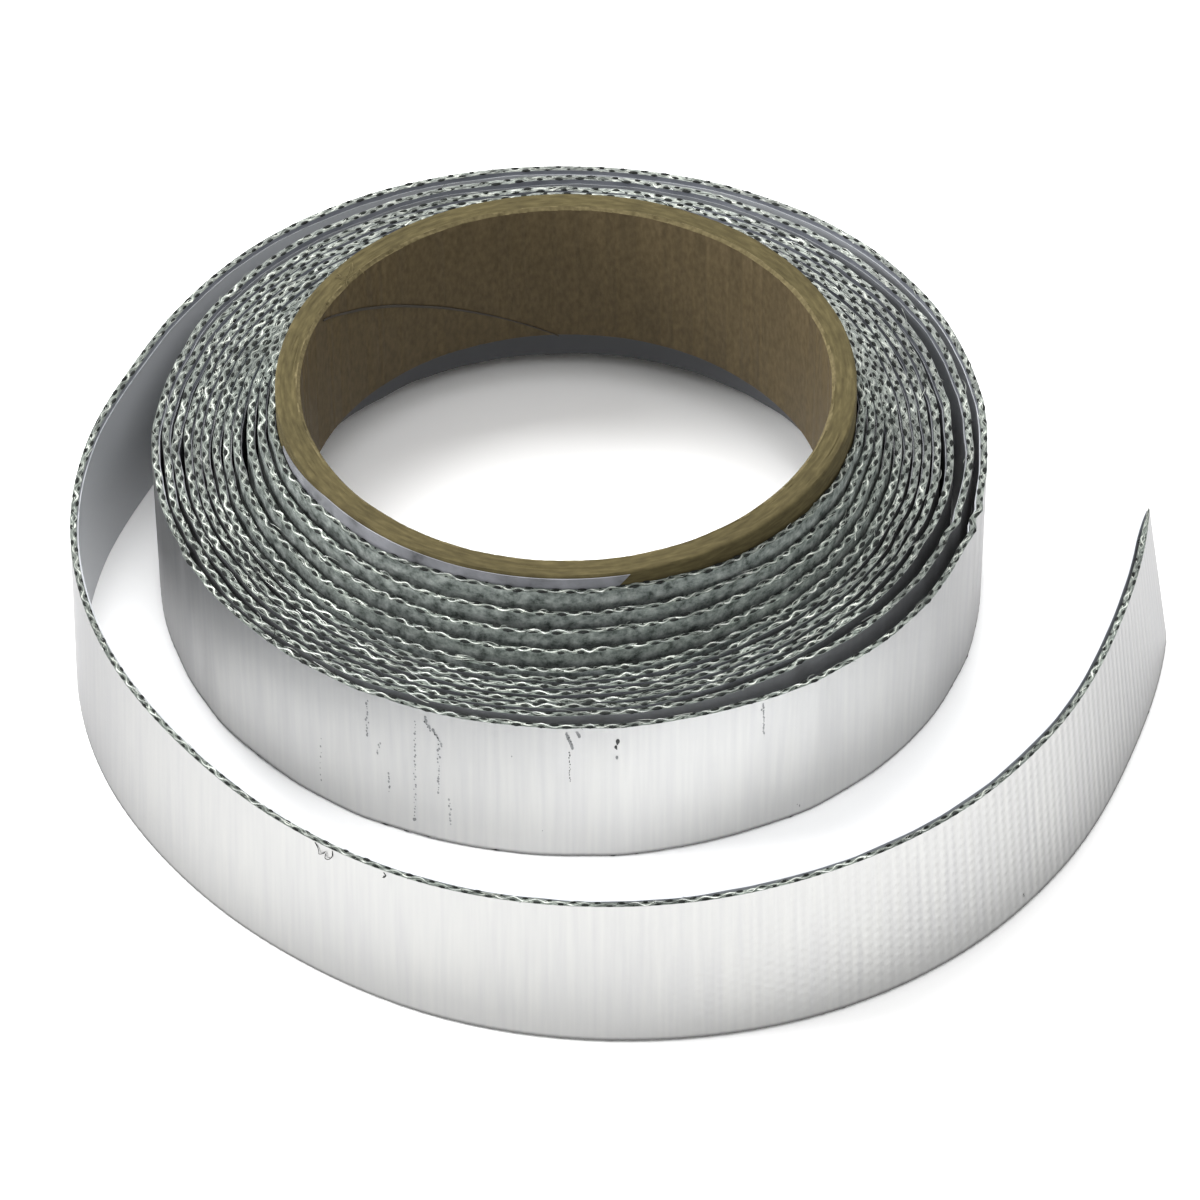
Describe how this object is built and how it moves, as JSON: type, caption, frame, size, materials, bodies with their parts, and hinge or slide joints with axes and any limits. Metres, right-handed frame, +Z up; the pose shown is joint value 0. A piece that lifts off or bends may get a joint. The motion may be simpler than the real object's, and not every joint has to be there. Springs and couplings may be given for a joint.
{
  "type": "foil tape roll",
  "caption": "Roll of aluminium-faced fibreglass tape on a cardboard core, lying on its side with a loose tail curving round its front.",
  "frame": {"origin": "middle of the footprint of roll and tail together, on the surface they lie on", "axes": "+Z up along the roll's axis, +X to the picture's right, +Y away from its camera"},
  "size_m": [0.1582, 0.1578, 0.036],
  "materials": {
    "cardboard": "matte",
    "foil_glass_cloth": "satin",
    "liner_film": "satin"
  },
  "bodies": {
    "root": {"core": "cardboard", "tape": "foil_glass_cloth", "release_liner": "liner_film"}
  },
  "joints": []
}
